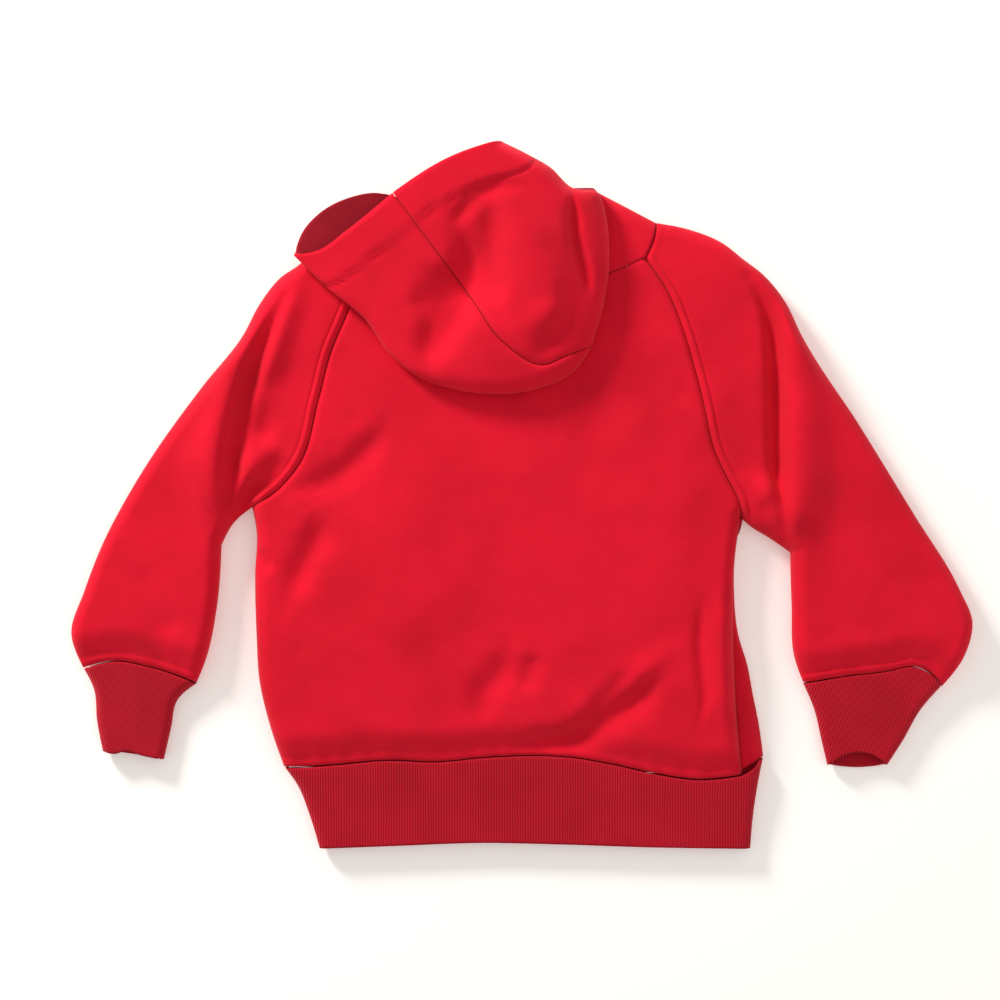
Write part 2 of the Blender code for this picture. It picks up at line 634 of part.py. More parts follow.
def hood(side, mat):
    left = side == "left"
    half = 0.5 * SEAM_GAP
    turn = 1.0 if left else -1.0
    side_t, down_t, stand_t = even(HOOD_SIDE), even(HOOD_DOWN), even(STAND_ROWS)
    cloth = Cloth()

    seam_up = at(shift(LINE["hood_seam"], half * turn), down_t)[::-1]
    rows = even(2 * 3)
    seam_low = at(shift(LINE["hood_under_seam"], half * turn), rows)
    foot = seam_up[-1] if left else at(LINE["hood_lower_right"], 0.9)
    seam_up[-1] = foot
    seam_low[0] = foot
    stand_seam = at(shift(LINE["stand_seam"], half * turn), stand_t)
    seam_low[-1] = stand_seam[-1]
    front = at(shift(LINE["front_edge"], half * turn), stand_t)
    half_u = 2.0 * U[:ACROSS // 2 + 1]
    count = ACROSS // 2
    if left:
        neck = two_part(shift(LINE["neck_end_left"], half), shift(LINE["back_neck"], half), NECK_END_T,
                        U[:count + 1])
        low_neck = two_part(shift(LINE["front_neck_end_left"], half), shift(LINE["front_neck"], half), NECK_END_T,
                            U[:count + 1])
        outline_a, outline_b = at(LINE["hood_left"][::-1], down_t), at(LINE["hood_bottom"][::-1], side_t)
        outline_b[-1] = foot
        rim = at(LINE["rim_left"], side_t)
        rim[-1] = seam_up[0]
        plan = coons(outline_a, seam_up, rim, outline_b, down_t, side_t)
        lay_patch(cloth, plan, hood_upper,
                  [(FIRST_ROW, hood_edge(plan[0])), (LAST, hood_edge(plan[:, -1]))], False, [LAST_ROW])
        outline = shared(outline_a, outline_b)
        t = even(len(outline) - 1)
        stand_top = at(LINE["stand_top_left"], t)
        stand_top[-1] = stand_seam[-1]
        far = at(LINE["rim_far"][::-1], rows)
        plan = coons(outline, stand_top, far, seam_low, t, rows)
        lay_patch(cloth, plan, hood_under,
                  [(FIRST_ROW, hood_edge(plan[0])), (LAST_ROW, stand_height(plan[-1]))], True, [LAST])
        end = at(LINE["stand_left"], 0.04 + 0.96 * stand_t)
        neck[0], low_neck[0], neck[-1], low_neck[-1] = end[0], end[0], stand_seam[0], front[0]
        plan = coons(neck, stand_top, end, stand_seam, t, stand_t)
        lay_patch(cloth, plan, stand_height, [(FIRST, SIDE_FOLD)], False, [FIRST_ROW, LAST])
        lip = at(LINE["lip_left"], t)
        lip[-1] = front[-1]
        plan = coons(low_neck, lip, end, front, t, stand_t)
        lay_patch(cloth, plan, stand_under, [(FIRST, SIDE_FOLD)], True, [FIRST_ROW, LAST])
    else:
        neck = two_part(shift(LINE["neck_end_right"], -half), shift(LINE["back_neck"], half)[::-1], NECK_END_T,
                        1.0 - U[count:][::-1])[::-1]
        low_neck = two_part(shift(LINE["front_neck_end_right"], -half), shift(LINE["front_neck"], half)[::-1],
                            NECK_END_T, 1.0 - U[count:][::-1])[::-1]
        outline = shared(at(LINE["hood_upper_right"], even(3)), at(LINE["hood_lower_right"], even(3)))
        outline[-1] = foot
        top = at(LINE["hood_top"], down_t)
        rim = at(LINE["rim_right"], rows)
        rim[0] = seam_up[0]
        # Upper layer, between the centre seam and the outline.
        plan = coons(seam_up, top, rim, outline[::-1], down_t, rows)
        edge = hood_edge(plan)
        lay_patch(cloth, plan, hood_upper, [(LAST_ROW, edge[-1]), (LAST, edge[:, -1])], False, [FIRST_ROW])
        t = even(len(neck) - 1)
        stand_top = at(LINE["stand_top_right"], t)
        stand_top[0] = stand_seam[-1]
        down = seam_low[::-1]
        plan = coons(stand_top, np.repeat(foot[None], len(t), axis=0), down, outline, t, rows)
        edge = hood_edge(plan)
        lay_patch(cloth, plan, hood_under,
                  [(LAST, edge[:, -1]), (FIRST_ROW, stand_height(plan[0])), (LAST_ROW, edge[-1])], False, [FIRST])
        end = at(LINE["stand_right"], 0.04 + 0.96 * stand_t)
        neck[-1], low_neck[-1], neck[0], low_neck[0] = end[0], end[0], stand_seam[0], front[0]
        plan = coons(neck, stand_top, stand_seam, end, t, stand_t)
        lay_patch(cloth, plan, stand_height, [(LAST, SIDE_FOLD)], False, [FIRST_ROW, FIRST])
        lip_right = at(LINE["lip_right"], down_t)
        lip = shared(at(LINE["lip_middle"], even(len(t) - 1 - HOOD_DOWN)), lip_right)
        lip[0] = front[-1]
        plan = coons(low_neck, lip, front, end, t, stand_t)
        lay_patch(cloth, plan, stand_under, [(LAST, SIDE_FOLD)], True, [FIRST_ROW, FIRST])
        # The fold that closes the mouth at its right end.
        drop = at(LINE["rim_drop"], stand_t)
        corner = top[-1]
        plan = coons(top, lip_right, drop, np.repeat(corner[None], len(stand_t), axis=0), down_t, stand_t)
        high, low = hood_edge(plan[0]), stand_under(plan[-1])
        z = low[None] + (high - low)[None] * (1 - stand_t[:, None] ** 1.3)
        z[:, -1] = SIDE_FOLD
        cloth.patch(with_height(plan, z), flip=False)
    return make("hood_" + side, cloth, FLEECE_WALL, mat)


# ------------------------------------------------------------------ build

for old in list(bpy.data.objects):
    bpy.data.objects.remove(old, do_unlink=True)

FLEECE = material("fleece", (0.70, 0.012, 0.035), 0.9, 0.35)
RIB = material("rib", (0.50, 0.008, 0.024), 0.9, 0.25)

back_panel(FLEECE)
front_panel(FLEECE)
pocket(FLEECE)
sleeve("left", FLEECE)
sleeve("right", FLEECE)
cuff("left", RIB)
cuff("right", RIB)
waistband(RIB)
hood("left", FLEECE)
hood("right", FLEECE)
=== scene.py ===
"""A child's red raglan hoodie, laid face down on a pale surface with its hood over its back."""

import math

import bpy
import numpy as np
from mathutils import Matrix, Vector


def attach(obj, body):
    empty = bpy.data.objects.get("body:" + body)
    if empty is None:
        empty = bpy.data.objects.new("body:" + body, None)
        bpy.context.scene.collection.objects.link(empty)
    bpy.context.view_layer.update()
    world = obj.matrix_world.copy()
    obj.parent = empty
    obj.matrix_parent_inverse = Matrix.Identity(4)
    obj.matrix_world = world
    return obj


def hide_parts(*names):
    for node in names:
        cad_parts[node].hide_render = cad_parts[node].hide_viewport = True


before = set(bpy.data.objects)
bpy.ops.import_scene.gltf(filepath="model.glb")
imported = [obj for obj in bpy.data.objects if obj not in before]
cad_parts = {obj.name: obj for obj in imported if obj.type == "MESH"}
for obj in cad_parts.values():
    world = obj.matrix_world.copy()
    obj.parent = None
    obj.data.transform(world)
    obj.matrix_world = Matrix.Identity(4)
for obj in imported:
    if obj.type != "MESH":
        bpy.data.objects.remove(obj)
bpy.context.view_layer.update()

MM = 0.001

# Cloth. Sizes are in millimetres up to make(), which turns them into metres.
FLEECE_WALL = 2.4
RIB_WALL = 2.4
POCKET_WALL = 1.6
SEAM_GAP = 0.4
HALF_GAP = 0.5 * SEAM_GAP
BAND_SETBACK = 0.15
LAYER_GAP = 0.6

# Heights of the laid garment.
BODY_HEIGHT = 20.0
SEAM_HEIGHT = 13.0
BAND_HEIGHT = 11.0
PUFF = 24.0
SIDE_FOLD = 8.5
SIDE_ROUND = 10.0
STRIP_FOLD = 4.6
STRIP_TOP = 7.7
BAND_FOLD = 5.6
BAND_ROUND = 6.5
HOOD_FOLD = 7.0
HOOD_ROUND = 11.0
HOOD_UNDER_ROUND = 6.0
HOOD_LEAST_RISE = 2.0
BAND_FALL = 40.0
NECK_DROP, NECK_DROP_FROM, NECK_DROP_OVER = 3.0, 140.0, 60.0
UNDERARM_STEP = 0.8

# Where the outline is lower, because the front shows past the back.
STRIP_BELOW, STRIP_FADE_DOWN = -15.0, 45.0
STRIP_RIGHT_OF, STRIP_FADE_ACROSS = 100.0, 40.0

# How the strip of the front tucks in under the back.
TUCK_LEAST, TUCK_MORE = 0.4, 2.6
TUCK_BELOW, TUCK_OVER = -12.0, 50.0
STRIP_TIP = 11.0
STRIP_STEEPNESS = 1.4

# Room that the front leaves for the pocket: its limits, and how far it fades in from them.
POCKET_PLAY = 0.4
ROOM_LOW, ROOM_LOW_FADE = 215.0, 20.0
ROOM_HIGH, ROOM_HIGH_FADE = -12.0, 18.0
ROOM_LEFT, ROOM_RIGHT, ROOM_SIDE_FADE = 160.0, 184.0, 16.0

# Seams: how deep they press in and how far that reaches, then the welt and its line of stitches.
SEAM_DIP, SEAM_DIP_REACH = 2.2, 1.7
END_DIP, END_DIP_REACH = 1.8, 1.6
SEAM_WELT, WELT_RISE, WELT_EDGE, STITCH_REACH = 5.5, 0.7, 1.2, 0.9

# Hem and centre seam of the hood.
HEM, HEM_RISE, HEM_EDGE = 25.0, 0.9, 1.6
HEM_DIP, HEM_DIP_REACH = 1.1, 1.3
HOOD_SEAM_DIP, HOOD_SEAM_REACH = 1.3, 1.5

# Folds: how strongly they show, and how they fade towards seams, rim and the ends of their lines.
FOLD_DEPTH = 2.1
FOLD_FADE = 14.0
CREASE_DEPTH = 1.45
CREASE_FROM, CREASE_FADE = 4.0, 18.0
END_FADE = 0.3
END_WIDTH, MORE_WIDTH = 0.75, 0.5
END_DEPTH, MORE_DEPTH = 0.15, 0.85

# Slow unevenness of the cloth, and the fine gathers along the ribbed seams.
WAVE_HEIGHT = 0.5
WAVE_ACROSS, SWAY_ACROSS, SWAY_ACROSS_LENGTH = 19.0, 1.7, 31.0
WAVE_ALONG, SWAY_ALONG, SWAY_ALONG_LENGTH = 23.0, 0.8, 41.0
GATHER_HEIGHT, GATHER_REACH = 0.35, 9.0
GATHER_LENGTH, GATHER_SWAY, GATHER_SWAY_LENGTH = 3.1, 2.0, 17.0

# Facets.
ACROSS = 132
SIDE_ROWS = 66
ARMHOLE_ROWS = 78
NECK_END_ROWS = 10
UNDERARM_ROWS = 14
SLEEVE_ROWS = 60
SLEEVE_ACROSS = 76
BAND_ROWS = 30
CUFF_ACROSS = 56
CUFF_ROWS = 34
HOOD_SIDE = 26
HOOD_DOWN = 50
STAND_ROWS = 24
HOOD_HALF_ROWS = 24
POCKET_ACROSS = 60
POCKET_ROWS = 50
STRIP_COLUMNS = 3

# Shares of a plan's height: the sides of a panel, and the stretches of a sleeve's inner side.
SIDE_SHARE, ARMHOLE_SHARE = 0.45, 0.55
SLEEVE_TOP_SHARE, UNDERARM_SHARE, SLEEVE_LOW_SHARE = 0.55, 0.1, 0.35

# Where patches meet, as fractions of the lines that they meet on.
UNDERARM_START = 0.02
HOOD_FOOT = 0.985
STAND_START = 0.04
DROP_CURVE = 1.3

# Outline curves.
CURVES = {
    "sleeve_outer_left": [
        (-106, 190), (-124, 178), (-137, 162), (-150, 153), (-165, 134), (-176, 113),
        (-204, 78), (-238, 31), (-257, 0), (-273, -31), (-285, -62), (-294, -92), (-286, -115),
    ],
    "underarm_left": [(-170, -5), (-182, -15), (-191, -31)],
    "sleeve_inner_left": [(-191, -31), (-194, -72), (-202, -110), (-208, -125)],
    "armhole_left": [
        (-170, -5), (-151, 8), (-137, 25), (-124, 69), (-116, 100), (-102, 135), (-96, 163),
    ],
    "front_armhole_left": [
        (-170, -5), (-150, 9), (-132, 31), (-116, 69), (-104, 105), (-90, 135), (-78, 156),
    ],
    "cuff_seam_left": [(-286, -115), (-263, -110), (-244, -113), (-226, -118), (-208, -125)],
    "cuff_outer_left": [(-285.8, -116), (-279, -130), (-277, -151), (-273, -172)],
    "cuff_inner_left": [(-208.6, -126), (-222, -138), (-226, -156), (-231, -178)],
    "cuff_hem_left": [(-273, -172), (-264, -174), (-256, -172), (-246, -175), (-231, -178)],
    "cuff_under_left": [(-273, -172), (-252, -175), (-231, -178)],
    "sleeve_outer_right": [
        (107, 190), (128, 186), (153, 176), (167, 165), (180, 155), (196, 135), (206, 114),
        (246, 52), (284, -10), (315, -61), (324, -84), (318, -108), (303, -128),
    ],
    "underarm_right": [(165, -12), (173, -19), (183, -25), (199, -36)],
    "sleeve_inner_right": [(199, -36), (200, -72), (202, -108), (208, -125)],
    "armhole_right": [
        (165, -12), (163, -1), (156, 13), (147, 32), (138, 70), (132, 93), (124, 119),
        (115, 141), (99, 165),
    ],
    "front_armhole_right": [
        (165, -12), (161, -1), (150, 14), (134, 38), (122, 72), (110, 105), (96, 135), (82, 156),
    ],
    "cuff_seam_right": [
        (303, -128), (298, -121), (284, -114), (266, -117), (233, -121), (208, -125),
    ],
    "cuff_outer_right": [(302.4, -128.6), (289, -144), (277, -165), (266, -182)],
    "cuff_inner_right": [(208.4, -126), (216, -144), (221, -165), (225, -182)],
    "cuff_hem_right": [(266, -182), (256, -175), (244, -173), (232, -177), (225, -182)],
    "cuff_under_right": [(266, -182), (246, -184), (225, -182)],
    "side_left": [
        (-170, -5), (-167, -21), (-168, -51), (-167, -93), (-165, -124), (-158, -154), (-148, -183),
    ],
    "side_right": [
        (165, -12), (162, -31), (161, -62), (164, -93), (170, -113), (174, -134), (178, -154),
        (181, -176),
    ],
    "back_side_right": [(165, -12), (161, -41), (160, -82), (161, -124), (163, -158), (166, -188)],
    "waist": [
        (-148, -183), (-114, -181), (-79, -178), (-42, -179), (-10, -176), (49, -176), (79, -181),
        (106, -187), (137, -191), (166, -188),
    ],
    "strip_waist": [(166, -188), (174, -183), (181, -176)],
    "front_waist": [(-148, -183), (-60, -186), (60, -187), (150, -184), (181, -176)],
    "back_neck": [(-96, 163), (-60, 150), (0, 144), (60, 150), (99, 165)],
    "front_neck": [(-78, 156), (-50, 135), (0, 124), (55, 135), (82, 156)],
    "neck_end_left": [(-106, 190), (-102, 177), (-96, 163)],
    "neck_end_right": [(107, 190), (105, 179), (99, 165)],
    "front_neck_end_left": [(-106, 190), (-95, 172), (-78, 156)],
    "front_neck_end_right": [(107, 190), (97, 172), (82, 156)],
    "band_left": [(-147.6, -184), (-139, -196), (-131, -216), (-124, -239)],
    "band_right": [(180.6, -177.2), (177, -196), (174, -216), (172, -239)],
    "band_hem": [(-124, -239), (-71, -237), (-14, -235), (41, -236), (103, -238), (172, -239)],
    "stand_left": [(-106, 190), (-88, 199), (-68, 205)],
    "stand_right": [(107, 190), (88, 200), (67, 211)],
    "stand_top_left": [(-68, 205), (-32, 207), (5, 208)],
    "stand_top_right": [(5, 208), (35, 210), (67, 211)],
    "stand_seam": [(0, 144), (2, 176), (5, 208)],
    "front_edge": [(0, 124), (0, 165), (0, 204)],
    "lip_left": [(-68, 205), (-34, 204), (0, 204)],
    "lip_right": [(22, 205), (45, 208), (67, 211)],
    "lip_middle": [(0, 204), (11, 204), (22, 205)],
    "rim_left": [(-140, 166), (-122, 169), (-104, 181), (-72, 206)],
    "rim_right": [(-72, 206), (-36, 228), (3, 242)],
    "rim_far": [(-68, 205), (-84, 209), (-102, 206), (-122, 196), (-134, 183), (-140, 166)],
    "rim_drop": [(3, 242), (14, 226), (22, 205)],
    "hood_top": [(3, 242), (20, 234), (34, 226), (49, 212), (67, 211)],
    "hood_upper_right": [(67, 211), (72, 193), (74, 157)],
    "hood_lower_right": [(74, 157), (71, 136), (62, 104)],
    "hood_bottom": [(62, 104), (50, 87), (24, 75), (-11, 72), (-42, 78)],
    "hood_left": [(-42, 78), (-58, 85), (-73, 97), (-92, 123), (-115, 142), (-140, 166)],
    "hood_seam": [(62, 104), (44, 97), (29, 91), (3, 105), (-20, 137), (-38, 161), (-72, 206)],
    "hood_under_seam": [(62, 104), (48, 99), (34, 104), (22, 150), (5, 208)],
}

# Height of the hood's upper layer, where it is known.
HOOD_HEIGHTS = [
    # x, y, height
    (-140, 166, 27), (-104, 181, 36), (-72, 206, 43), (-30, 228, 49), (3, 242, 46), (34, 226, 42),
    (67, 211, 30), (74, 157, 34), (40, 180, 47), (0, 195, 50), (-20, 160, 43), (30, 130, 46),
    (-60, 160, 38), (-95, 150, 32), (-75, 115, 33), (-42, 85, 36), (10, 85, 38), (55, 105, 36),
    (20, 105, 43),
]

# Folds of the upper layer: the line of the fold, its height and how far it reaches to each side.
FOLDS = [
    # sleeves
    {"height": 4.5, "reach": 15.0,
     "line": [(-196, -30), (-196, 6), (-191, 42), (-182, 70), (-168, 108), (-150, 142)]},
    {"height": -5.5, "reach": 5.5,
     "line": [(-185, -20), (-182, 22), (-176, 60), (-163, 100), (-146, 138)]},
    {"line": [(-162, 72), (-152, 10), (-148, 4)], "height": -2.2, "reach": 9.0},
    {"line": [(-135, 152), (-148, 120), (-165, 75)], "height": 2.2, "reach": 8.0},
    {"line": [(-158, 14), (-170, 5), (-176, -10), (-188, -26)], "height": -4.5, "reach": 4.5},
    {"line": [(-152, 44), (-165, 26), (-176, 14)], "height": 3.0, "reach": 8.0},
    {"line": [(-242, -55), (-230, -84)], "height": -2.4, "reach": 13.0},
    {"line": [(-224, -84), (-213, -106)], "height": -2.0, "reach": 9.0},
    {"height": 4.5, "reach": 14.0,
     "line": [(207, -45), (205, 30), (203, 88), (193, 128), (178, 152)]},
    {"height": -6.0, "reach": 5.0,
     "line": [(196, -30), (190, 18), (189, 70), (188, 96), (184, 124), (170, 152)]},
    {"line": [(160, 62), (166, 22)], "height": -2.0, "reach": 11.0},
    {"line": [(168, 12), (186, 2), (196, -12), (199, -28)], "height": 2.6, "reach": 8.0},
    {"line": [(183, -4), (190, -18)], "height": -3.6, "reach": 6.0},
    {"line": [(222, -92), (262, -62)], "height": -2.0, "reach": 12.0},
    {"line": [(226, -95), (246, -88)], "height": -1.4, "reach": 8.0},
    # back
    {"line": [(-100, 54), (-113, 36)], "height": -2.0, "reach": 7.0},
    {"line": [(-77, 52), (-94, 30), (-115, 14), (-142, 6)], "height": -2.2, "reach": 8.0},
    {"line": [(-130, -6), (-124, -23), (-133, -43), (-145, -71)], "height": -2.6, "reach": 8.0},
    {"line": [(-147, -78), (-137, -102)], "height": -1.2, "reach": 4.0},
    {"line": [(-164, -32), (-160, -43), (-153, -45)], "height": -1.6, "reach": 4.0},
    {"line": [(-40, -20), (-10, -50)], "height": -1.8, "reach": 15.0},
    {"line": [(3, -98), (1, -118), (-12, -134), (-3, -154)], "height": -2.2, "reach": 8.0},
    {"line": [(24, -103), (21, -116), (14, -132)], "height": -1.6, "reach": 6.0},
    {"line": [(54, -105), (47, -123)], "height": -1.4, "reach": 6.0},
    {"height": -4.2, "reach": 9.0,
     "line": [(118, -107), (92, -136), (63, -154), (40, -168), (-4, -171)]},
    {"line": [(126, -98), (96, -122), (66, -141), (36, -158)], "height": 2.0, "reach": 9.0},
    {"line": [(92, -113), (78, -128), (56, -146)], "height": -1.6, "reach": 5.0},
    {"line": [(137, -68), (138, -120), (140, -132), (135, -154)], "height": -1.6, "reach": 3.5},
    {"line": [(150, -60), (151, -120), (152, -160)], "height": 1.6, "reach": 6.0},
    {"line": [(100, 103), (124, 72)], "height": -1.8, "reach": 8.0},
    {"line": [(60, 60), (110, 20), (120, -30)], "height": 1.4, "reach": 22.0},
    {"line": [(-60, 20), (-70, -60), (-60, -120)], "height": 1.4, "reach": 24.0},
]

# Pocket on the outside of the front, open at the slants of both sides.
POCKET = {
    "bottom": [(-128, -179), (-60, -181), (60, -182), (154, -178)],
    "top": [(-78, -45), (94, -45)],
    "left": [(-128, -179), (-131, -142), (-78, -45)],
    "right": [(154, -178), (150, -140), (94, -45)],
}

# Creases of the hood's upper layer, in the same way.
HOOD_CREASES = [
    {"line": [(0, 205), (22, 165), (40, 132), (7, 113)], "height": 3.2, "reach": 10.0},
    {"line": [(-5, 206), (-6, 172), (-2, 122)], "height": -3.0, "reach": 7.0},
    {"line": [(44, 154), (46, 128), (24, 96)], "height": -2.6, "reach": 6.0},
    {"line": [(-32, 180), (-21, 198), (-6, 208), (17, 209)], "height": -2.4, "reach": 4.5},
    {"line": [(-28, 188), (-20, 150), (-48, 92), (-46, 82)], "height": -7.5, "reach": 9.0},
    {"line": [(-5, 115), (-44, 80)], "height": 4.5, "reach": 7.0},
    {"line": [(-80, 122), (-58, 86)], "height": 3.0, "reach": 8.0},
    {"line": [(-62, 128), (-40, 140), (-30, 160)], "height": -4.0, "reach": 10.0},
    {"line": [(49, 209), (50, 181), (54, 160), (61, 132)], "height": -5.0, "reach": 3.5},
]


# ------------------------------------------------------------------ curves

def run(points, step=1.5):
    """A smooth line through the points, as a dense one."""
    p = np.array(points, dtype=float)
    if len(p) < 3:
        return p
    h = np.maximum(np.linalg.norm(p[1:] - p[:-1], axis=1), 1e-6)
    slope = (p[1:] - p[:-1]) / h[:, None]
    tangent = np.empty_like(p)
    blend = slope[1:] * h[:-1, None] + slope[:-1] * h[1:, None]
    tangent[1:-1] = blend / (h[:-1] + h[1:])[:, None]
    tangent[0] = 1.5 * slope[0] - 0.5 * tangent[1]
    tangent[-1] = 1.5 * slope[-1] - 0.5 * tangent[-2]
    out = [p[:1]]
    for i in range(len(h)):
        n = max(2, int(math.ceil(h[i] / step)))
        t = (np.arange(1, n + 1) / n)[:, None]
        t2, t3 = t * t, t * t * t
        out.append((2 * t3 - 3 * t2 + 1) * p[i] + (t3 - 2 * t2 + t) * h[i] * tangent[i]
                   + (3 * t2 - 2 * t3) * p[i + 1] + (t3 - t2) * h[i] * tangent[i + 1])
    return np.vstack(out)


LINE = {name: run(points) for name, points in CURVES.items()}


def at(line, t):
    """Points of a dense line at fractions of its length."""
    s = np.concatenate(([0.0], np.cumsum(np.linalg.norm(line[1:] - line[:-1], axis=1))))
    t = np.asarray(t, dtype=float) * s[-1]
    return np.stack([np.interp(t, s, line[:, k]) for k in range(line.shape[1])], axis=-1)


def shift(line, d):
    """The line moved to its left by d."""
    t = np.gradient(line, axis=0)
    t /= np.maximum(np.linalg.norm(t, axis=1), 1e-9)[:, None]
    return line + d * np.stack([-t[:, 1], t[:, 0]], axis=1)


def join(*lines):
    """Lines end to end, with the shared ends kept once."""
    return np.vstack([lines[0]] + [line[1:] for line in lines[1:]])


def even(n):
    return np.linspace(0.0, 1.0, n + 1)


def packed(n):
    """Fractions packed closer towards both ends."""
    return 0.5 - 0.5 * np.cos(math.pi * even(n))


def eased(n):
    """Fractions packed a little closer towards both ends."""
    return 0.6 * even(n) + 0.4 * packed(n)


def packed_start(n):
    """Fractions packed closer towards the start."""
    return 1.0 - np.cos(0.5 * math.pi * even(n))


def coons(bottom, top, left, right, a, b):
    """A plan between four sides. Bottom and top run along a, left and right run along b."""
    a = a[None, :, None]
    b = b[:, None, None]
    ruled = (1 - b) * bottom[None] + b * top[None] + (1 - a) * left[:, None] + a * right[:, None]
    corner = ((1 - a) * (1 - b) * bottom[0] + a * (1 - b) * bottom[-1]
              + (1 - a) * b * top[0] + a * b * top[-1])
    return ruled - corner


def near(points, lines):
    """Distance of each point to the nearest of the lines."""
    flat = points.reshape(-1, 2)
    best = np.full(len(flat), 1e9)
    for line in lines:
        a, d = line[:-1], line[1:] - line[:-1]
        length = np.maximum((d * d).sum(1), 1e-12)
        for start in range(0, len(flat), 20000):
            p = flat[start:start + 20000]
            rel = p[:, None] - a[None]
            t = np.clip((rel * d[None]).sum(2) / length[None], 0, 1)
            off = rel - t[..., None] * d[None]
            part = slice(start, start + len(p))
            best[part] = np.minimum(best[part], np.sqrt((off * off).sum(2).min(1)))
    return best.reshape(points.shape[:-1])


def smooth(t):
    t = np.clip(t, 0, 1)
    return t * t * (3 - 2 * t)


def lift(t):
    """The rise of a round fold, from its edge to its top."""
    t = np.clip(t, 0, 1)
    return np.sqrt(np.maximum(0.0, 1 - (1 - t) ** 2))


# ------------------------------------------------------------------ heights

ROUND_FOLDS = [
    LINE["side_right"][::-1], LINE["underarm_right"], LINE["sleeve_inner_right"],
    LINE["sleeve_outer_right"][::-1],
    LINE["stand_right"], LINE["stand_left"][::-1], LINE["sleeve_outer_left"],
    LINE["sleeve_inner_left"][::-1], LINE["underarm_left"][::-1], LINE["side_left"],
]
BACK_FOLDS = [LINE["back_side_right"][::-1]] + ROUND_FOLDS[1:]
BAND_FOLDS = [LINE["band_right"][::-1], LINE["band_left"]]
CUFF_FOLDS_LEFT = [LINE["cuff_outer_left"], LINE["cuff_inner_left"][::-1]]
CUFF_FOLDS_RIGHT = [LINE["cuff_outer_right"][::-1], LINE["cuff_inner_right"]]
GATHERED = [join(LINE["waist"], LINE["strip_waist"]), LINE["cuff_seam_left"], LINE["cuff_seam_right"]]
HOOD_FOLDS = [
    LINE["hood_left"][::-1], LINE["hood_bottom"][::-1], LINE["hood_lower_right"][::-1],
    LINE["hood_upper_right"][::-1], LINE["hood_top"][::-1],
]
FOLD_LINES = [(run(fold["line"]), FOLD_DEPTH * fold["height"], fold["reach"]) for fold in FOLDS]
STAND_CORNERS = np.array([CURVES["stand_top_left"][0], CURVES["stand_top_right"][-1]], dtype=float)


def taper(p, line, height, reach):
    """The height of one fold, which fades towards the ends of its line."""
    s = np.concatenate(([0.0], np.cumsum(np.linalg.norm(line[1:] - line[:-1], axis=1))))
    s /= s[-1]
    flat = p.reshape(-1, 2)
    out = np.zeros(len(flat))
    low, high = line.min(0) - 3 * reach, line.max(0) + 3 * reach
    inside = np.where(((flat > low) & (flat < high)).all(1))[0]
    for start in range(0, len(inside), 8000):
        part = inside[start:start + 8000]
        d = np.linalg.norm(flat[part][:, None] - line[None], axis=2)
        k = d.argmin(1)
        t = s[k]
        end = smooth(t / END_FADE) * smooth((1 - t) / END_FADE)
        wide = reach * (END_WIDTH + MORE_WIDTH * end)
        deep = height * (END_DEPTH + MORE_DEPTH * end)
        out[part] = deep * np.exp(-(d[np.arange(len(part)), k] / wide) ** 2)
    return out.reshape(p.shape[:-1])


def laid(p):
    """Height of the upper layer of body, sleeves and stand, away from their outline."""
    gather = near(p, GATHERED)
    z = SEAM_HEIGHT + (BODY_HEIGHT - SEAM_HEIGHT) * smooth(gather / PUFF)
    x, y = p[..., 0], p[..., 1]
    z = z - NECK_DROP * smooth((y - NECK_DROP_FROM) / NECK_DROP_OVER)
    for line, height, reach in FOLD_LINES:
        z = z + taper(p, line, height, reach) * smooth(gather / FOLD_FADE)
    across = np.sin(x / WAVE_ACROSS + SWAY_ACROSS * np.sin(y / SWAY_ACROSS_LENGTH))
    along = np.sin(y / WAVE_ALONG + SWAY_ALONG * np.sin(x / SWAY_ALONG_LENGTH))
    z = z + WAVE_HEIGHT * across * along * smooth(gather / PUFF)
    pull = np.exp(-(gather / GATHER_REACH) ** 2)
    sway = GATHER_SWAY * np.sin(x / GATHER_SWAY_LENGTH)
    return z + GATHER_HEIGHT * pull * np.sin(x / GATHER_LENGTH + sway)


ARMHOLES = [LINE["armhole_left"], LINE["armhole_right"]]
NECK_ENDS = [LINE["neck_end_left"], LINE["neck_end_right"]]


def sewn(p, z, welt):
    """Seams press into the cloth, and their turnings are stitched down on the side of the welt."""
    cuts = near(p, ARMHOLES + (NECK_ENDS if welt else []))
    ends = near(p, GATHERED)
    z = (z - SEAM_DIP * np.exp(-(cuts / SEAM_DIP_REACH) ** 2)
         - END_DIP * np.exp(-(ends / END_DIP_REACH) ** 2))
    d = np.minimum(cuts, ends) if welt else ends
    stitches = np.exp(-((d - SEAM_WELT) / STITCH_REACH) ** 2)
    return z + WELT_RISE * smooth((SEAM_WELT - d) / WELT_EDGE) - WELT_RISE * stitches


def upper(p, folds=ROUND_FOLDS, base=SIDE_FOLD):
    d = near(p, folds)
    return base + (laid(p) - base) * lift(d / SIDE_ROUND)


def edge_height(p):
    """Height of the outline. It is lower along the right side, where the front shows past the back."""
    down = smooth((STRIP_BELOW - p[..., 1]) / STRIP_FADE_DOWN)
    right = smooth((p[..., 0] - STRIP_RIGHT_OF) / STRIP_FADE_ACROSS)
    on_side = near(p, [LINE["side_right"]]) < near(p, [LINE["underarm_right"]])
    lower = down * right * on_side
    return SIDE_FOLD - (SIDE_FOLD - STRIP_FOLD) * lower


def under(p, folds=ROUND_FOLDS):
    d = near(p, folds)
    return edge_height(p) * (1 - lift(d / SIDE_ROUND))


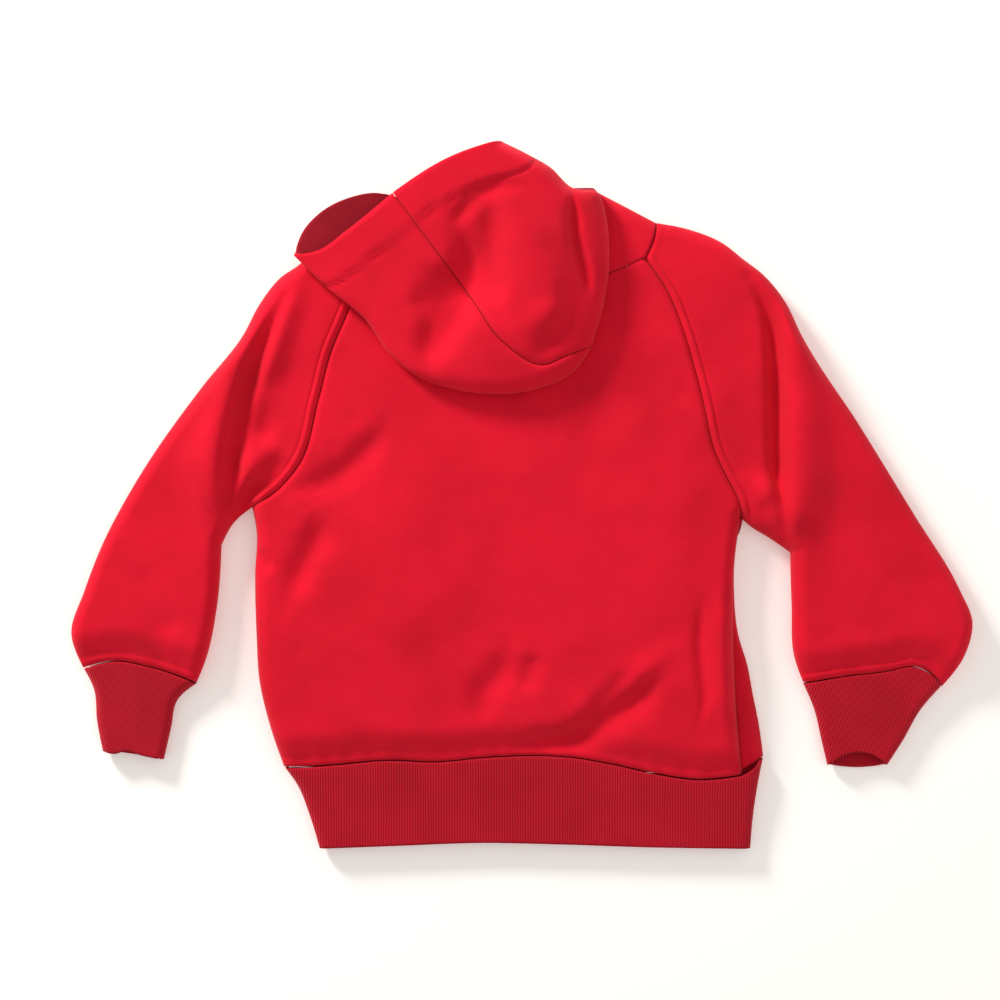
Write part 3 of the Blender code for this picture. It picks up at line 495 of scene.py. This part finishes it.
def band_upper(p, folds):
    d = near(p, folds)
    down = near(p, GATHERED)
    top = SEAM_HEIGHT - (SEAM_HEIGHT - BAND_HEIGHT) * smooth(down / BAND_FALL)
    return BAND_FOLD + (top - BAND_FOLD) * lift(d / BAND_ROUND)


def band_under(p, folds):
    d = near(p, folds)
    return BAND_FOLD * (1 - lift(d / BAND_ROUND))


def to_corner(p, corners):
    return np.min([np.linalg.norm(p - c, axis=-1) for c in corners], axis=0)


def spline_heights(table):
    q = np.array(table, dtype=float)
    xy, z = q[:, :2] / 100.0, q[:, 2]

    def kernel(r2):
        return np.where(r2 > 1e-12, 0.5 * r2 * np.log(np.maximum(r2, 1e-12)), 0.0)

    n = len(q)
    k = kernel(((xy[:, None] - xy[None]) ** 2).sum(2)) + 0.002 * np.eye(n)
    one = np.hstack([np.ones((n, 1)), xy])
    system = np.vstack([np.hstack([k, one]), np.hstack([one.T, np.zeros((3, 3))])])
    w = np.linalg.solve(system, np.concatenate([z, np.zeros(3)]))

    def height(p):
        s = p / 100.0
        r2 = ((s[..., None, :] - xy) ** 2).sum(-1)
        return kernel(r2) @ w[:n] + w[n] + s @ w[n + 1:]

    return height


HOOD_TOP = spline_heights(HOOD_HEIGHTS)


def rests(p):
    """Height of the outside of the hood's lower layer, away from its outline."""
    corner = lift(to_corner(p, STAND_CORNERS) / SIDE_ROUND)
    return SIDE_FOLD + (laid(p) + LAYER_GAP - SIDE_FOLD) * corner


def hood_edge(p):
    corner = lift(to_corner(p, STAND_CORNERS[1:]) / SIDE_ROUND)
    return SIDE_FOLD + (laid(p) + LAYER_GAP + HOOD_FOLD - SIDE_FOLD) * corner


def hood_under(p):
    d = near(p, HOOD_FOLDS)
    low, edge = rests(p), hood_edge(p)
    return edge + (low - edge) * lift(d / HOOD_UNDER_ROUND)


HOOD_RIM = join(LINE["rim_left"], LINE["rim_right"])
CREASE_LINES = [
    (run(fold["line"]), CREASE_DEPTH * fold["height"], fold["reach"]) for fold in HOOD_CREASES]


def hood_upper(p):
    d = near(p, HOOD_FOLDS)
    edge = hood_edge(p)
    rim, seam = near(p, [HOOD_RIM]), near(p, [LINE["hood_seam"]])
    z = HOOD_TOP(p)
    for line, height, reach in CREASE_LINES:
        z = z + taper(p, line, height, reach) * smooth((rim - CREASE_FROM) / CREASE_FADE)
    z = edge + np.maximum(z - edge, HOOD_LEAST_RISE) * lift(d / HOOD_ROUND)
    hem_line = np.exp(-((rim - HEM) / HEM_DIP_REACH) ** 2)
    z = z + HEM_RISE * smooth((HEM - rim) / HEM_EDGE) - HEM_DIP * hem_line
    return z - HOOD_SEAM_DIP * np.exp(-(seam / HOOD_SEAM_REACH) ** 2)


# ------------------------------------------------------------------ cloth

class Cloth:
    """An outer skin of joined patches, given a wall on its inner side."""

    def __init__(self):
        self.verts, self.index, self.faces, self.fixed = [], {}, [], {}

    def vertex(self, co):
        key = tuple(np.round(co, 3))
        if key not in self.index:
            self.index[key] = len(self.verts)
            self.verts.append(np.array(co, dtype=float))
        return self.index[key]

    def patch(self, grid, flip=False):
        ids = np.array([[self.vertex(co) for co in row] for row in grid])
        for j in range(ids.shape[0] - 1):
            for i in range(ids.shape[1] - 1):
                face = [ids[j, i], ids[j, i + 1], ids[j + 1, i + 1], ids[j + 1, i]]
                face = [v for k, v in enumerate(face) if v != face[k - 1]]
                if len(face) >= 3:
                    self.faces.append(face[::-1] if flip else face)
        return ids

    def level(self, ids):
        """Walls at these vertices stand level, for the two sides of a seam that lies on the outline."""
        for v in np.ravel(ids):
            self.fixed[int(v)] = "level"

    def upright(self, ids):
        for v in np.ravel(ids):
            self.fixed[int(v)] = "upright"

    def solid(self, wall):
        verts = np.array(self.verts)
        normal = np.zeros_like(verts)
        for face in self.faces:
            p = verts[face]
            n = len(face)
            for k in range(n):
                u, v = p[(k + 1) % n] - p[k], p[k - 1] - p[k]
                cross = np.cross(u, v)
                size = np.linalg.norm(cross)
                if size > 1e-12:
                    angle = math.atan2(size, float(u @ v))
                    normal[face[k]] += cross / size * angle
        normal /= np.maximum(np.linalg.norm(normal, axis=1), 1e-9)[:, None]
        for v, how in self.fixed.items():
            if how == "level":
                normal[v, 2] = 0.0
            else:
                normal[v, :2] = 0.0
            normal[v] /= max(np.linalg.norm(normal[v]), 1e-9)
        count = len(verts)
        inner = [[v + count for v in face[::-1]] for face in self.faces]
        faces = [list(face) for face in self.faces] + inner
        edges = {}
        for face in self.faces:
            for k in range(len(face)):
                edges[(face[k - 1], face[k])] = True
        for a, b in list(edges):
            if (b, a) not in edges:
                faces.append([b, a, a + count, b + count])
        return np.vstack([verts, verts - normal * wall]), faces


def pinned(line, t, first, last):
    """The line, eased over to new ends."""
    t = t[:, None]
    return line + (1 - t) ** 2 * (np.asarray(first) - line[0]) + t ** 2 * (np.asarray(last) - line[-1])


def with_height(plan, height):
    return np.concatenate([plan, np.asarray(height)[..., None]], axis=2)


# Radians that the wave texture turns through in a metre, at a scale of 1.
WAVE_TURN = 20.0


def material(name, colour, dark, rib=0.0, turn=0.0):
    """Brushed cloth, a little patchy in colour. Rib is the width of a ridge in metres, turn its angle."""
    mat = bpy.data.materials.new(name)
    mat.use_nodes = True
    nodes, links = mat.node_tree.nodes, mat.node_tree.links
    shader = nodes["Principled BSDF"]
    shader.inputs["Roughness"].default_value = 0.95
    shader.inputs["Specular IOR Level"].default_value = 0.15
    shader.inputs["Sheen Weight"].default_value = 0.25
    shader.inputs["Sheen Roughness"].default_value = 0.5
    shader.inputs["Sheen Tint"].default_value = (1.0, 0.25, 0.3, 1.0)
    place = nodes.new("ShaderNodeTexCoord")
    patchy = nodes.new("ShaderNodeTexNoise")
    patchy.inputs["Scale"].default_value = 28.0
    patchy.inputs["Detail"].default_value = 4.0
    links.new(place.outputs["Object"], patchy.inputs["Vector"])
    mix = nodes.new("ShaderNodeMix")
    mix.data_type = "RGBA"
    mix.inputs[6].default_value = (*dark, 1.0)
    mix.inputs[7].default_value = (*colour, 1.0)
    ramp = nodes.new("ShaderNodeMapRange")
    ramp.inputs["From Min"].default_value = 0.3
    ramp.inputs["From Max"].default_value = 0.62
    links.new(patchy.outputs["Fac"], ramp.inputs["Value"])
    links.new(ramp.outputs["Result"], mix.inputs[0])
    links.new(mix.outputs[2], shader.inputs["Base Color"])
    knit = nodes.new("ShaderNodeTexNoise")
    knit.inputs["Scale"].default_value = 1400.0
    knit.inputs["Detail"].default_value = 3.0
    links.new(place.outputs["Object"], knit.inputs["Vector"])
    bump = nodes.new("ShaderNodeBump")
    bump.inputs["Strength"].default_value = 0.35
    bump.inputs["Distance"].default_value = 0.0004
    links.new(knit.outputs["Fac"], bump.inputs["Height"])
    links.new(bump.outputs["Normal"], shader.inputs["Normal"])
    if rib:
        mapping = nodes.new("ShaderNodeMapping")
        mapping.inputs["Rotation"].default_value = (0.0, 0.0, turn)
        links.new(place.outputs["Object"], mapping.inputs["Vector"])
        wave = nodes.new("ShaderNodeTexWave")
        wave.bands_direction = "X"
        wave.inputs["Scale"].default_value = 2 * math.pi / (rib * WAVE_TURN)
        wave.inputs["Distortion"].default_value = 0.4
        links.new(mapping.outputs["Vector"], wave.inputs["Vector"])
        ribs = nodes.new("ShaderNodeBump")
        ribs.inputs["Strength"].default_value = 0.8
        ribs.inputs["Distance"].default_value = 0.0006
        links.new(wave.outputs["Fac"], ribs.inputs["Height"])
        links.new(bump.outputs["Normal"], ribs.inputs["Normal"])
        links.new(ribs.outputs["Normal"], shader.inputs["Normal"])
    return mat


def make(name, cloth, wall, mat):
    """The cloth as an object that stands in for the CAD piece of that name."""
    verts, faces = cloth.solid(wall)
    mesh = bpy.data.meshes.new("shown_" + name)
    mesh.from_pydata(
        [tuple(v * MM) for v in verts], [], [tuple(int(i) for i in face) for face in faces])
    mesh.validate()
    mesh.materials.append(mat)
    # The hood's inner faces get a darker copy of the fleece: painted shade for the inside of the hood.
    if name.startswith("hood"):
        mesh.materials.append(INSIDE_SHADE)
        count = len(cloth.faces)
        for polygon in mesh.polygons:
            if count <= polygon.index < 2 * count:
                polygon.material_index = 1
    mesh.shade_smooth()
    obj = bpy.data.objects.new("shown_" + name, mesh)
    bpy.context.scene.collection.objects.link(obj)
    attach(obj, "root")
    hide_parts(name)
    return obj


# ------------------------------------------------------------------ pieces

U = eased(ACROSS)
SIDE_T = even(SIDE_ROWS)
ARMHOLE_T = 0.5 * (even(ARMHOLE_ROWS) + packed_start(ARMHOLE_ROWS))
NECK_END_T = packed_start(NECK_END_ROWS)


def two_part(first, second, t1, t2):
    return np.vstack([at(first, t1), at(second, t2)[1:]])


def panel_plan(side_left, armhole_left, side_right, armhole_right, waist, neck):
    left = two_part(side_left[::-1], armhole_left, SIDE_T, ARMHOLE_T)
    right = two_part(side_right[::-1], armhole_right, SIDE_T, ARMHOLE_T)
    bottom, top = at(waist, U), at(neck, U)
    bottom[0], bottom[-1], top[0], top[-1] = left[0], right[0], left[-1], right[-1]
    b = np.concatenate([SIDE_SHARE * SIDE_T, SIDE_SHARE + ARMHOLE_SHARE * ARMHOLE_T[1:]])
    return coons(bottom, top, left, right, U, b)


def cut_edges(cloth, ids):
    """Walls stand upright along the cut edges of waist, armholes and neck."""
    cloth.upright(ids[0, 1:-1])
    cloth.upright(ids[-1, 1:-1])
    cloth.upright(ids[SIDE_ROWS + 1:, 0])
    cloth.upright(ids[SIDE_ROWS + 1:, -1])


def back_panel(mat):
    plan = panel_plan(
        LINE["side_left"], shift(LINE["armhole_left"], -HALF_GAP), LINE["back_side_right"],
        shift(LINE["armhole_right"], HALF_GAP), shift(LINE["waist"], HALF_GAP), shift(LINE["back_neck"], -HALF_GAP))
    z = sewn(plan, upper(plan, BACK_FOLDS, SIDE_FOLD + HALF_GAP), False)
    z[SIDE_ROWS, -1] += UNDERARM_STEP
    cloth = Cloth()
    ids = cloth.patch(with_height(plan, z))
    cut_edges(cloth, ids)
    cloth.level(ids[:SIDE_ROWS + 1, 0])
    cloth.level(ids[:SIDE_ROWS + 1, -1])
    return make("back_panel", cloth, FLEECE_WALL, mat)


def pocket_lift(p):
    """Room for the pocket between the front and the surface."""
    x, y = p[..., 0], p[..., 1]
    inside = np.minimum(np.minimum((y + ROOM_LOW) / ROOM_LOW_FADE, (ROOM_HIGH - y) / ROOM_HIGH_FADE), 1.0)
    sides = np.minimum((x + ROOM_LEFT) / ROOM_SIDE_FADE, (ROOM_RIGHT - x) / ROOM_SIDE_FADE)
    return (POCKET_WALL + POCKET_PLAY) * smooth(np.minimum(inside, sides))


def front_panel(mat):
    plan = panel_plan(
        LINE["side_left"], shift(LINE["front_armhole_left"], -HALF_GAP), LINE["side_right"],
        shift(LINE["front_armhole_right"], HALF_GAP), shift(LINE["front_waist"], HALF_GAP),
        shift(LINE["front_neck"], -HALF_GAP))
    z = under(plan)
    z = np.maximum(z, pocket_lift(plan))
    z[:SIDE_ROWS + 1, 0] -= HALF_GAP
    z[:SIDE_ROWS + 1, -1] -= HALF_GAP
    cloth = Cloth()
    ids = cloth.patch(with_height(plan, z), flip=True)
    cut_edges(cloth, ids)
    cloth.level(ids[:SIDE_ROWS + 1, 0])
    # The strip of the front that shows past the fold of the back.
    outer = at(LINE["side_right"][::-1], SIDE_T)
    fold = at(LINE["back_side_right"][::-1], SIDE_T)
    tuck = TUCK_LEAST + TUCK_MORE * smooth((TUCK_BELOW - fold[:, 1]) / TUCK_OVER)
    fold[:, 0] -= tuck
    outer[0] = plan[0, -1]
    fold[0] = [fold[0, 0], outer[0, 1] - STRIP_TIP]
    a = even(STRIP_COLUMNS)
    strip = outer[:, None] * (1 - a[None, :, None]) + fold[:, None] * a[None, :, None]
    edge = z[:SIDE_ROWS + 1, -1][:, None]
    rise = edge + (STRIP_TOP - edge) * lift(a[None, :] * STRIP_STEEPNESS)
    strip = with_height(strip, rise)
    strip[:, 0, 2] = z[:SIDE_ROWS + 1, -1]
    ids = cloth.patch(strip, flip=True)
    cloth.upright(ids[0, 1:])
    cloth.level(ids[-1])
    return make("front_panel", cloth, FLEECE_WALL, mat)


def pocket(mat):
    lines = {name: run(points) for name, points in POCKET.items()}
    a, b = even(POCKET_ACROSS), even(POCKET_ROWS)
    left, right = at(lines["left"], b), at(lines["right"], b)
    bottom, top = at(lines["bottom"], a), at(lines["top"], a)
    plan = coons(bottom, top, left, right, a, b)
    cloth = Cloth()
    cloth.patch(with_height(plan, np.zeros(plan.shape[:2])), flip=True)
    return make("pocket", cloth, POCKET_WALL, mat)


def sleeve(side, mat):
    left = side == "left"
    half = HALF_GAP if left else -HALF_GAP
    bend_t = UNDERARM_START + (1 - UNDERARM_START) * even(UNDERARM_ROWS)
    a = eased(SLEEVE_ACROSS)
    b = np.concatenate([
        SLEEVE_TOP_SHARE * even(ARMHOLE_ROWS),
        SLEEVE_TOP_SHARE + UNDERARM_SHARE * even(UNDERARM_ROWS)[1:],
        SLEEVE_TOP_SHARE + UNDERARM_SHARE + SLEEVE_LOW_SHARE * even(SLEEVE_ROWS)[1:],
    ])
    outer = at(LINE["sleeve_outer_" + side], b)
    cuff_line = at(shift(LINE["cuff_seam_" + side], half), a)
    underarm = LINE["underarm_" + side]
    lower = at(LINE["sleeve_inner_" + side], even(SLEEVE_ROWS))
    cloth = Cloth()
    for front, height, flip in (("", upper, left), ("front_", under, not left)):
        neck = at(shift(LINE[front + "neck_end_" + side], -half), a)
        arm = at(shift(LINE[front + "armhole_" + side][::-1], -half), even(ARMHOLE_ROWS))
        inner = join(arm, at(underarm, bend_t), lower)
        inner[ARMHOLE_ROWS] = at(underarm, UNDERARM_START)
        neck = pinned(neck, a, outer[0], inner[0])
        plan = coons(neck, pinned(cuff_line, a, outer[-1], inner[-1]), outer, inner, a, b)
        z = height(plan)
        if height is upper:
            z = sewn(plan, z, True)
        z[:, 0] = z[ARMHOLE_ROWS:, -1] = SIDE_FOLD
        ids = cloth.patch(with_height(plan, z), flip=flip)
        cloth.upright(ids[-1, 1:-1])
        cloth.upright(ids[0, 1:-1])
        cloth.upright(ids[1:ARMHOLE_ROWS, -1])
    return make("sleeve_" + side, cloth, FLEECE_WALL, mat)


def tube(name, top_seam, low_seam, hem, low_hem, first, second, u, rows, folds, flip, mat):
    """A ribbed band laid flat: an upper and an under layer between two folded sides."""
    b = even(rows)
    left, right = at(first, b), at(second, b)
    cloth = Cloth()
    layers = ((top_seam, hem, band_upper, flip), (low_seam, low_hem, band_under, not flip))
    for seam, edge, height, turn in layers:
        start = pinned(at(seam, u), u, left[0], right[0])
        end = pinned(at(edge, u), u, left[-1], right[-1])
        plan = coons(start, end, left, right, u, b)
        z = height(plan, folds)
        z[:, 0] = z[:, -1] = BAND_FOLD
        ids = cloth.patch(with_height(plan, z), flip=turn)
        cloth.upright(ids[0, 1:-1])
    return make(name, cloth, RIB_WALL, mat)


def waistband(mat):
    whole = join(LINE["waist"], LINE["strip_waist"])
    top = shift(whole, -BAND_SETBACK)
    low = shift(LINE["front_waist"], -BAND_SETBACK)
    return tube("waistband", top, low, LINE["band_hem"], LINE["band_hem"],
                LINE["band_left"], LINE["band_right"],
                packed(ACROSS), BAND_ROWS, BAND_FOLDS, True, mat)


def cuff(side, mat):
    sign = 1.0 if side == "left" else -1.0
    seam = shift(LINE["cuff_seam_" + side], -BAND_SETBACK * sign)
    folds = CUFF_FOLDS_LEFT if side == "left" else CUFF_FOLDS_RIGHT
    return tube("cuff_" + side, seam, seam, LINE["cuff_hem_" + side], LINE["cuff_under_" + side],
                LINE["cuff_outer_" + side], LINE["cuff_inner_" + side],
                packed(CUFF_ACROSS), CUFF_ROWS, folds, side == "left", mat)


def lay_patch(cloth, plan, height, edges, flip, cuts=()):
    """Adds a patch of the hood. Edges gives the heights of those sides that other patches share."""
    z = height(plan)
    for where, value in edges:
        z[where] = value
    ids = cloth.patch(with_height(plan, z), flip=flip)
    for cut in cuts:
        cloth.upright(ids[cut][1:-1])


FIRST_ROW, LAST_ROW = (0, slice(None)), (-1, slice(None))
FIRST, LAST = (slice(None), 0), (slice(None), -1)


def stand_under(p):
    d = near(p, ROUND_FOLDS)
    return SIDE_FOLD * (1 - lift(d / SIDE_ROUND))


def hood(side, mat):
    left = side == "left"
    inward = HALF_GAP if left else -HALF_GAP
    side_t, down_t, stand_t = even(HOOD_SIDE), even(HOOD_DOWN), even(STAND_ROWS)
    cloth = Cloth()

    seam_up = at(shift(LINE["hood_seam"], inward), down_t)[::-1]
    rows = even(2 * HOOD_HALF_ROWS)
    seam_low = at(shift(LINE["hood_under_seam"], inward), rows)
    foot = seam_up[-1] if left else at(LINE["hood_lower_right"], HOOD_FOOT)
    seam_up[-1] = foot
    seam_low[0] = foot
    stand_seam = at(shift(LINE["stand_seam"], inward), stand_t)
    seam_low[-1] = stand_seam[-1]
    front = at(shift(LINE["front_edge"], inward), stand_t)
    count = ACROSS // 2
    if left:
        neck, low_neck = (
            two_part(shift(LINE[prefix + "neck_end_left"], HALF_GAP), shift(LINE[which], HALF_GAP),
                     NECK_END_T, U[:count + 1])
            for prefix, which in (("", "back_neck"), ("front_", "front_neck")))
        outline_a, outline_b = at(LINE["hood_left"][::-1], down_t), at(LINE["hood_bottom"][::-1], side_t)
        outline_b[-1] = foot
        rim = at(LINE["rim_left"], side_t)
        rim[-1] = seam_up[0]
        plan = coons(outline_a, seam_up, rim, outline_b, down_t, side_t)
        lay_patch(cloth, plan, hood_upper,
                  [(FIRST_ROW, hood_edge(plan[0])), (LAST, hood_edge(plan[:, -1]))], False, [LAST_ROW])
        outline = join(outline_a, outline_b)
        t = even(len(outline) - 1)
        stand_top = at(LINE["stand_top_left"], t)
        stand_top[-1] = stand_seam[-1]
        far = at(LINE["rim_far"][::-1], rows)
        plan = coons(outline, stand_top, far, seam_low, t, rows)
        lay_patch(cloth, plan, hood_under,
                  [(FIRST_ROW, hood_edge(plan[0])), (LAST_ROW, upper(plan[-1]))], True, [LAST])
        end = at(LINE["stand_left"], STAND_START + (1 - STAND_START) * stand_t)
        neck[0], low_neck[0], neck[-1], low_neck[-1] = end[0], end[0], stand_seam[0], front[0]
        plan = coons(neck, stand_top, end, stand_seam, t, stand_t)
        lay_patch(cloth, plan, upper, [(FIRST, SIDE_FOLD)], False, [FIRST_ROW, LAST])
        lip = at(LINE["lip_left"], t)
        lip[-1] = front[-1]
        plan = coons(low_neck, lip, end, front, t, stand_t)
        lay_patch(cloth, plan, stand_under, [(FIRST, SIDE_FOLD)], True, [FIRST_ROW, LAST])
    else:
        neck, low_neck = (
            two_part(shift(LINE[prefix + "neck_end_right"], -HALF_GAP),
                     shift(LINE[which], HALF_GAP)[::-1], NECK_END_T, 1.0 - U[count:][::-1])[::-1]
            for prefix, which in (("", "back_neck"), ("front_", "front_neck")))
        half_t = even(HOOD_HALF_ROWS)
        outline = join(at(LINE["hood_upper_right"], half_t), at(LINE["hood_lower_right"], half_t))
        outline[-1] = foot
        top = at(LINE["hood_top"], down_t)
        rim = at(LINE["rim_right"], rows)
        rim[0] = seam_up[0]
        # Upper layer, between the centre seam and the outline.
        plan = coons(seam_up, top, rim, outline[::-1], down_t, rows)
        edge = hood_edge(plan)
        lay_patch(cloth, plan, hood_upper,
                  [(LAST_ROW, edge[-1]), (LAST, edge[:, -1])], False, [FIRST_ROW])
        t = even(len(neck) - 1)
        stand_top = at(LINE["stand_top_right"], t)
        stand_top[0] = stand_seam[-1]
        down = seam_low[::-1]
        plan = coons(stand_top, np.repeat(foot[None], len(t), axis=0), down, outline, t, rows)
        edge = hood_edge(plan)
        lay_patch(cloth, plan, hood_under,
                  [(LAST, edge[:, -1]), (FIRST_ROW, upper(plan[0])), (LAST_ROW, edge[-1])],
                  False, [FIRST])
        end = at(LINE["stand_right"], STAND_START + (1 - STAND_START) * stand_t)
        neck[-1], low_neck[-1], neck[0], low_neck[0] = end[0], end[0], stand_seam[0], front[0]
        plan = coons(neck, stand_top, stand_seam, end, t, stand_t)
        lay_patch(cloth, plan, upper, [(LAST, SIDE_FOLD)], False, [FIRST_ROW, FIRST])
        lip_right = at(LINE["lip_right"], down_t)
        lip = join(at(LINE["lip_middle"], even(len(t) - 1 - HOOD_DOWN)), lip_right)
        lip[0] = front[-1]
        plan = coons(low_neck, lip, front, end, t, stand_t)
        lay_patch(cloth, plan, stand_under, [(LAST, SIDE_FOLD)], True, [FIRST_ROW, FIRST])
        # The fold that closes the mouth at its right end.
        drop = at(LINE["rim_drop"], stand_t)
        corner = np.repeat(top[-1:], len(stand_t), axis=0)
        plan = coons(top, lip_right, drop, corner, down_t, stand_t)
        high, low = hood_edge(plan[0]), stand_under(plan[-1])
        z = low[None] + (high - low)[None] * (1 - stand_t[:, None] ** DROP_CURVE)
        z[:, -1] = SIDE_FOLD
        cloth.patch(with_height(plan, z), flip=False)
    return make("hood_" + side, cloth, FLEECE_WALL, mat)


# ------------------------------------------------------------------ build

RIB_COLOUR, RIB_DARK, RIB_WIDTH = (0.52, 0.007, 0.022), (0.45, 0.006, 0.018), 0.0018
FLEECE = material("fleece red", (0.74, 0.006, 0.026), (0.62, 0.005, 0.020))
# A darker copy of the fleece for the hood's inside: painted shade, not a colour of the cloth.
INSIDE_SHADE = material("fleece inside painted shade", (0.30, 0.006, 0.016), (0.24, 0.005, 0.013))
RIB = material("rib red", RIB_COLOUR, RIB_DARK, RIB_WIDTH)
RIB_LEFT = material("rib red left", RIB_COLOUR, RIB_DARK, RIB_WIDTH, -0.25)
RIB_RIGHT = material("rib red right", RIB_COLOUR, RIB_DARK, RIB_WIDTH, 0.3)

FLOOR_REACH, FLOOR_DEPTH = 4, -0.0004
floor_mesh = bpy.data.meshes.new("floor")
corners = ((-1, -1), (1, -1), (1, 1), (-1, 1))
floor_mesh.from_pydata(
    [(x * FLOOR_REACH, y * FLOOR_REACH, FLOOR_DEPTH) for x, y in corners], [], [(0, 1, 2, 3)])
paint = bpy.data.materials.new("white surface")
paint.use_nodes = True
surface = paint.node_tree.nodes["Principled BSDF"].inputs
surface["Base Color"].default_value = (0.97, 0.95, 0.92, 1.0)
surface["Emission Color"].default_value = (1.0, 0.98, 0.96, 1.0)
surface["Emission Strength"].default_value = 0.2
surface["Roughness"].default_value = 0.8
floor_mesh.materials.append(paint)
floor = bpy.data.objects.new("floor", floor_mesh)
bpy.context.scene.collection.objects.link(floor)

pocket(FLEECE)
front_panel(FLEECE)
back_panel(FLEECE)
sleeve("left", FLEECE)
sleeve("right", FLEECE)
cuff("left", RIB_LEFT)
cuff("right", RIB_RIGHT)
waistband(RIB)
hood("left", FLEECE)
hood("right", FLEECE)


# ------------------------------------------------------------------ light and camera

def lamp(name, place, target, size, power, colour):
    light = bpy.data.lights.new(name, "AREA")
    light.shape = "DISK"
    light.size, light.energy, light.color = size, power, colour
    obj = bpy.data.objects.new(name, light)
    obj.location = place
    obj.rotation_euler = (Vector(target) - Vector(place)).to_track_quat("-Z", "Y").to_euler()
    bpy.context.scene.collection.objects.link(obj)


lamp("window", (-1.3, 1.5, 0.85), (0, 0, 0), 0.5, 46.0, (1.0, 0.97, 0.93))
lamp("fill", (0.9, 0.2, 1.9), (0, 0, 0), 1.6, 5.0, (1.0, 0.95, 0.9))
world = bpy.data.worlds.new("room")
world.use_nodes = True
world.node_tree.nodes["Background"].inputs["Color"].default_value = (1.0, 0.97, 0.94, 1.0)
world.node_tree.nodes["Background"].inputs["Strength"].default_value = 0.55
bpy.context.scene.world = world

# The camera looks straight down, and sees this width of the surface, in metres.
SENSOR, CAMERA_HEIGHT, VIEW_WIDTH = 36.0, 1.5, 0.69
camera = bpy.data.cameras.new("camera")
camera.sensor_width = SENSOR
camera.lens = SENSOR * CAMERA_HEIGHT / VIEW_WIDTH
camera_object = bpy.data.objects.new("camera", camera)
camera_object.location = (0, 0, CAMERA_HEIGHT)
bpy.context.scene.collection.objects.link(camera_object)
bpy.context.scene.camera = camera_object
bpy.context.scene.view_settings.view_transform = "Standard"
